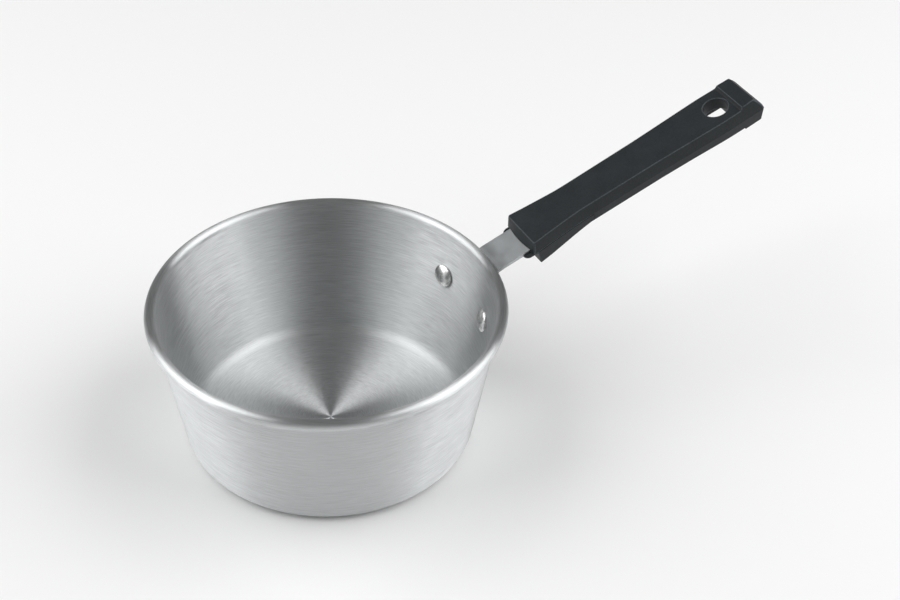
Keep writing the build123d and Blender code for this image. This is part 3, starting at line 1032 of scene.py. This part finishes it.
class StripRoute:
    """The bracket's side view: up the wall, round a bend under the rim and out along the handle."""

    def __init__(self, pan, rivets, handle, bracket):
        lines = WallLines(pan)
        self.up_wall = lines.up_wall
        self.off_wall = lines.off_wall
        self.out = Vector((cos(handle.slope), sin(handle.slope)))
        lowest = pan.height - rivets.drop - bracket.foot_height / 2
        foot = lines.radius_at(lowest) + bracket.seat_gap / sin(lines.lean)
        self.start = Vector((foot, lowest))
        seat = handle_place(pan, handle) @ Vector((0, 0, -handle.strip_depth - bracket.seat_gap))
        seat = Vector((seat.x, seat.z))
        rise = (seat - self.start).cross(self.out) / self.up_wall.cross(self.out)
        corner = self.start + rise * self.up_wall
        self.turn = lines.lean - handle.slope
        self.radius = bracket.bend_radius + bracket.plate / 2
        reach = self.radius * tan(self.turn / 2)
        self.bend_start = rise - reach
        self.bend_end = self.bend_start + self.radius * self.turn
        self.handle_start = self.bend_end + (seat - corner).length - reach
        self.centre = self.start + self.bend_start * self.up_wall + self.radius * self.off_wall

    def place(self, run, side):
        """Place of a point of the flat blank once it is bent, for the blank's face next to the wall."""
        if run < self.bend_start:
            spot = self.start + run * self.up_wall
        else:
            angle = min((run - self.bend_start) / self.radius, self.turn)
            spoke = cos(angle) * self.off_wall - sin(angle) * self.up_wall
            spot = self.centre - self.radius * spoke + max(run - self.bend_end, 0.0) * self.out
        share = (run - self.bend_start) / (self.bend_end - self.bend_start)
        roundness = 1 - min(1.0, max(0.0, share))
        sunk = spot.x - sqrt(max(spot.x**2 - side**2, 0.0))
        return Vector((spot.x - sunk * roundness, side, spot.y))


def bracket_blank(route, rivets, handle, bracket):
    """The bracket's flat blank, with the run along X and the width along Y."""
    foot = rivets.spacing / 2 + bracket.foot_height / 2
    strip = bracket.strip_width / 2
    tang = bracket.tang_width / 2
    top = bracket.foot_height / sin(route.turn + handle.slope)
    strip_end = route.handle_start + handle.strip_end
    tang_end = route.handle_start + bracket.tang_length
    half = [(0, foot), (top, foot), (top, strip), (strip_end, strip), (strip_end, tang), (tang_end, tang)]
    ring = half + [(run, -side) for run, side in reversed(half)]
    builder = bmesh.new()
    builder.faces.new([builder.verts.new((run, side, 0)) for run, side in ring])
    foot_round = bracket.foot_height / 2 - bracket.seat_gap
    for run, side, radius in (
        (0, foot, foot_round),
        (top, foot, foot_round),
        (top, strip, bracket.neck_radius),
        (tang_end, tang, bracket.tang_corner),
    ):
        for hand in (1, -1):
            corner = corner_near(builder, (run, side * hand, 0))
            round_off(builder, [corner], radius, segments=8, affect="VERTICES")
    return builder


class MILKPAN_OT_bracket(bpy.types.Operator):
    """Cut the bracket's blank, bend it under the rim and round its edges"""

    bl_idname = "milkpan.bracket"
    bl_label = "Bracket"
    bl_options = {"REGISTER", "UNDO"}

    def execute(self, context):
        rivets = context.scene.milkpan_rivets
        handle = context.scene.milkpan_handle
        bracket = context.scene.milkpan_bracket
        route = StripRoute(context.scene.milkpan_pan, rivets, handle, bracket)
        builder = bracket_blank(route, rivets, handle, bracket)
        across_step, foot_step, bend_steps, flat_step = 0.0021, 0.003, 16, 0.004
        slice_across(builder, 1, [across_step * step for step in range(-14, 15)])
        slice_across(builder, 0, [foot_step * step for step in range(1, 6)])
        bend = route.bend_end - route.bend_start
        bend_cuts = [route.bend_start + bend * step / bend_steps for step in range(bend_steps + 1)]
        flat_cuts = [route.bend_end + flat_step, route.bend_end + 2 * flat_step]
        slice_across(builder, 0, bend_cuts + flat_cuts)
        for vert in builder.verts:
            vert.co = route.place(vert.co.x, vert.co.y)
        bmesh.ops.recalc_face_normals(builder, faces=builder.faces[:])
        if max(builder.faces, key=lambda face: face.calc_area()).normal.x < 0:
            bmesh.ops.reverse_faces(builder, faces=builder.faces[:])
        bmesh.ops.solidify(builder, geom=builder.faces[:], thickness=-bracket.plate)
        bmesh.ops.recalc_face_normals(builder, faces=builder.faces[:])
        builder.normal_update()
        round_off(builder, bent_edges(builder, 60), bracket.edge_round, segments=3)
        finish_piece(
            "bracket_strip", builder, "bracket_metal", "handle_bracket", sharp_from=50
        )
        return {"FINISHED"}


def insert_sleeve(handle, screws):
    """A plain threaded sleeve over the tang, upright at the origin."""
    low = handle.slip - handle.strip_depth
    top = low + screws.insert_length
    bore = screws.screw_diameter / 2 + screws.thread_play
    outside = screws.insert_diameter / 2
    builder = bmesh.new()
    pen = SectionPen(builder, (bore, low))
    for corner in ((outside, low), (outside, top), (bore, top)):
        pen.line(corner)
    pen.close()
    revolve_section(builder, steps=48)
    round_off(builder, bent_edges(builder, 60), screws.insert_edge_round, segments=2)
    return builder


def slotted_screw(handle, bracket, screws):
    """A flat-headed screw that points up from the tray, upright at the origin."""
    seat = -core_depth(handle, bracket) - screws.web
    low = seat - screws.head_height
    tip = -screws.tip_depth
    head = screws.head_diameter / 2
    shank = screws.screw_diameter / 2
    builder = bmesh.new()
    pen = SectionPen(builder, (0, low))
    for corner in ((head, low), (head, seat), (shank, seat), (shank, tip), (0, tip)):
        pen.line(corner)
    revolve_section(builder, steps=48)
    round_off(builder, bent_edges(builder, 60), screws.screw_edge_round, segments=3)
    hairline = 0.00001
    slot_round = screws.slot_width / 2 - hairline
    slot = block(
        -screws.slot_length / 2,
        screws.slot_length / 2,
        screws.slot_width,
        -low - screws.slot_depth,
        CUT_BELOW,
        end_round=slot_round,
        start_round=slot_round,
    )
    merge(builder, slot, "DIFFERENCE")
    return builder


class MILKPAN_OT_fasteners(bpy.types.Operator):
    """Spin the threaded inserts and the slotted screws"""

    bl_idname = "milkpan.fasteners"
    bl_label = "Inserts and Screws"
    bl_options = {"REGISTER", "UNDO"}

    def execute(self, context):
        screws = context.scene.milkpan_fasteners
        handle = context.scene.milkpan_handle
        bracket = context.scene.milkpan_bracket
        grip = handle_place(context.scene.milkpan_pan, handle)
        for side, station in (("front", screws.front_at), ("rear", screws.rear_at)):
            place = grip @ Matrix.Translation((station, 0, 0))
            sleeve = insert_sleeve(handle, screws)
            bmesh.ops.transform(sleeve, matrix=place, verts=sleeve.verts[:])
            finish_piece(side + "_insert", sleeve, "insert_metal", "insert_" + side)
            screw = slotted_screw(handle, bracket, screws)
            bmesh.ops.transform(screw, matrix=place, verts=screw.verts[:])
            finish_piece(
                side + "_screw", screw, "screw_metal", "screw_" + side, sharp_from=40
            )
        return {"FINISHED"}


class MILKPAN_OT_finishes(bpy.types.Operator):
    """Make the materials that the pieces use"""

    bl_idname = "milkpan.finishes"
    bl_label = "Finishes"
    bl_options = {"REGISTER", "UNDO"}

    def execute(self, context):
        colours = context.scene.milkpan_finishes
        rim = context.scene.milkpan_pan.rim_diameter / 2
        # Painted shade on the bracket: darkest just past the rim, fading out a little further along the
        # strip
        rim_shade_start, rim_shade_end = 0.002, 0.0105
        painted_rim_shade = (rim + rim_shade_start, rim + rim_shade_end)
        brushed_aluminium(colours.aluminium)
        satin_metal("bracket_metal", colours.steel, 0.36, 0.5, painted_rim_shade=painted_rim_shade)
        satin_metal("rivet_metal", colours.rivet, 0.2, 0.34, dents=0.42)
        satin_metal("insert_metal", colours.brass, 0.3, 0.4)
        satin_metal("screw_metal", colours.steel, 0.25, 0.35)
        grained_phenolic(colours.phenolic)
        return {"FINISHED"}


# The lamps' size in metres and strength in watts, and how far to the side and how high they hang
LAMP_WIDTH, LAMP_HEIGHT = 1.7, 1.8
LAMP_STRENGTH = 22.0
LAMP_ACROSS, LAMP_LEVEL = 1.2, 1.1
LAMP_AIM = Vector((0.03, 0.0, 0.04))

# The solved camera: where it stands, the directions of its own axes, and its lens on a 36 mm sensor
CAMERA_PLACE = Vector((-0.299604, -0.663858, 0.661250))
CAMERA_RIGHT = Vector((0.87957734, -0.47551735, 0.01506492))
CAMERA_UP = Vector((0.28630545, 0.5543455, 0.78149232))
CAMERA_BACK = Vector((-0.37996433, -0.68306977, 0.62373296))
CAMERA_LENS = 75.2315
CAMERA_SENSOR = 36.0


def soft_box(name, place):
    """A large rectangular lamp that faces the pan."""
    lamp = bpy.data.lights.new(name, "AREA")
    lamp.shape = "RECTANGLE"
    lamp.size = LAMP_WIDTH
    lamp.size_y = LAMP_HEIGHT
    lamp.energy = LAMP_STRENGTH
    holder = bpy.data.objects.new(name, lamp)
    holder.location = place
    holder.rotation_euler = (LAMP_AIM - place).to_track_quat("-Z", "Y").to_euler()
    bpy.context.scene.collection.objects.link(holder)
    return holder


def pale_floor(colour):
    """A wide matt floor under the pan."""
    finish = bpy.data.materials.new("studio_floor")
    tree, shader, add = value_nodes(finish)
    shader.inputs["Base Color"].default_value = (*colour, 1)
    shader.inputs["Roughness"].default_value = 0.8
    shader.inputs["Specular IOR Level"].default_value = 0.0
    builder = bmesh.new()
    bmesh.ops.create_circle(builder, cap_ends=True, radius=12.0, segments=96)
    mesh = bpy.data.meshes.new("studio_floor")
    builder.to_mesh(mesh)
    builder.free()
    mesh.materials.append(finish)
    floor = bpy.data.objects.new("studio_floor", mesh)
    bpy.context.scene.collection.objects.link(floor)
    return floor


class MILKPAN_OT_stage(bpy.types.Operator):
    """Lay the pale floor, hang the lamps and place the camera"""

    bl_idname = "milkpan.stage"
    bl_label = "Stage"
    bl_options = {"REGISTER", "UNDO"}

    def execute(self, context):
        scene = context.scene
        scene.view_settings.view_transform = "Standard"

        world = bpy.data.worlds.new("studio")
        scene.world = world
        world.use_nodes = True
        sky = world.node_tree.nodes["Background"]
        sky.inputs["Color"].default_value = (1, 1, 1, 1)
        sky.inputs["Strength"].default_value = 0.2

        pale_floor(scene.milkpan_finishes.floor)
        across = Vector((CAMERA_RIGHT.x, CAMERA_RIGHT.y, 0)).normalized()
        for name, hand in (("left_box", -1), ("right_box", 1)):
            place = across * (hand * LAMP_ACROSS) + Vector((0, 0, LAMP_LEVEL))
            soft_box(name, place)

        camera = bpy.data.cameras.new("camera")
        camera.sensor_width = CAMERA_SENSOR
        camera.lens = CAMERA_LENS
        holder = bpy.data.objects.new("camera", camera)
        turned = Matrix((CAMERA_RIGHT, CAMERA_UP, CAMERA_BACK)).transposed().to_4x4()
        turned.translation = CAMERA_PLACE
        holder.matrix_world = turned
        scene.collection.objects.link(holder)
        scene.camera = holder
        return {"FINISHED"}


class MILKPAN_PT_sidebar(bpy.types.Panel):
    """Lists the steps that build the pan"""

    bl_idname = "MILKPAN_PT_sidebar"
    bl_label = "Milk Pan"
    bl_space_type = "VIEW_3D"
    bl_region_type = "UI"
    bl_category = "Milk Pan"

    def draw(self, context):
        for group in GROUPS:
            settings = getattr(context.scene, group)
            box = self.layout.box()
            for name in settings.__annotations__:
                box.prop(settings, name)
        for step in STEPS:
            self.layout.operator(step.bl_idname)


GROUPS = {
    "milkpan_pan": PanSizes,
    "milkpan_rivets": RivetSizes,
    "milkpan_bracket": BracketSizes,
    "milkpan_handle": HandleSizes,
    "milkpan_fasteners": FastenerSizes,
    "milkpan_finishes": Finishes,
}
STEPS = (
    MILKPAN_OT_finishes,
    MILKPAN_OT_pan_body,
    MILKPAN_OT_rivets,
    MILKPAN_OT_bracket,
    MILKPAN_OT_upper_shell,
    MILKPAN_OT_lower_shell,
    MILKPAN_OT_fasteners,
    MILKPAN_OT_stage,
)
CLASSES = (*GROUPS.values(), *STEPS, MILKPAN_PT_sidebar)


def register():
    """Register the classes and hang the settings on the scene."""
    for made in CLASSES:
        bpy.utils.register_class(made)
    for name, group in GROUPS.items():
        setattr(bpy.types.Scene, name, bpy.props.PointerProperty(type=group))


def unregister():
    """Take the settings and the classes away again."""
    for name in GROUPS:
        delattr(bpy.types.Scene, name)
    for made in reversed(CLASSES):
        bpy.utils.unregister_class(made)


def main():
    """Build the pan and its stage."""
    register()
    bpy.ops.milkpan.finishes()
    bpy.ops.milkpan.pan_body()
    bpy.ops.milkpan.rivets()
    bpy.ops.milkpan.bracket()
    bpy.ops.milkpan.upper_shell()
    bpy.ops.milkpan.lower_shell()
    bpy.ops.milkpan.fasteners()
    bpy.ops.milkpan.stage()


if __name__ == "__main__":
    main()
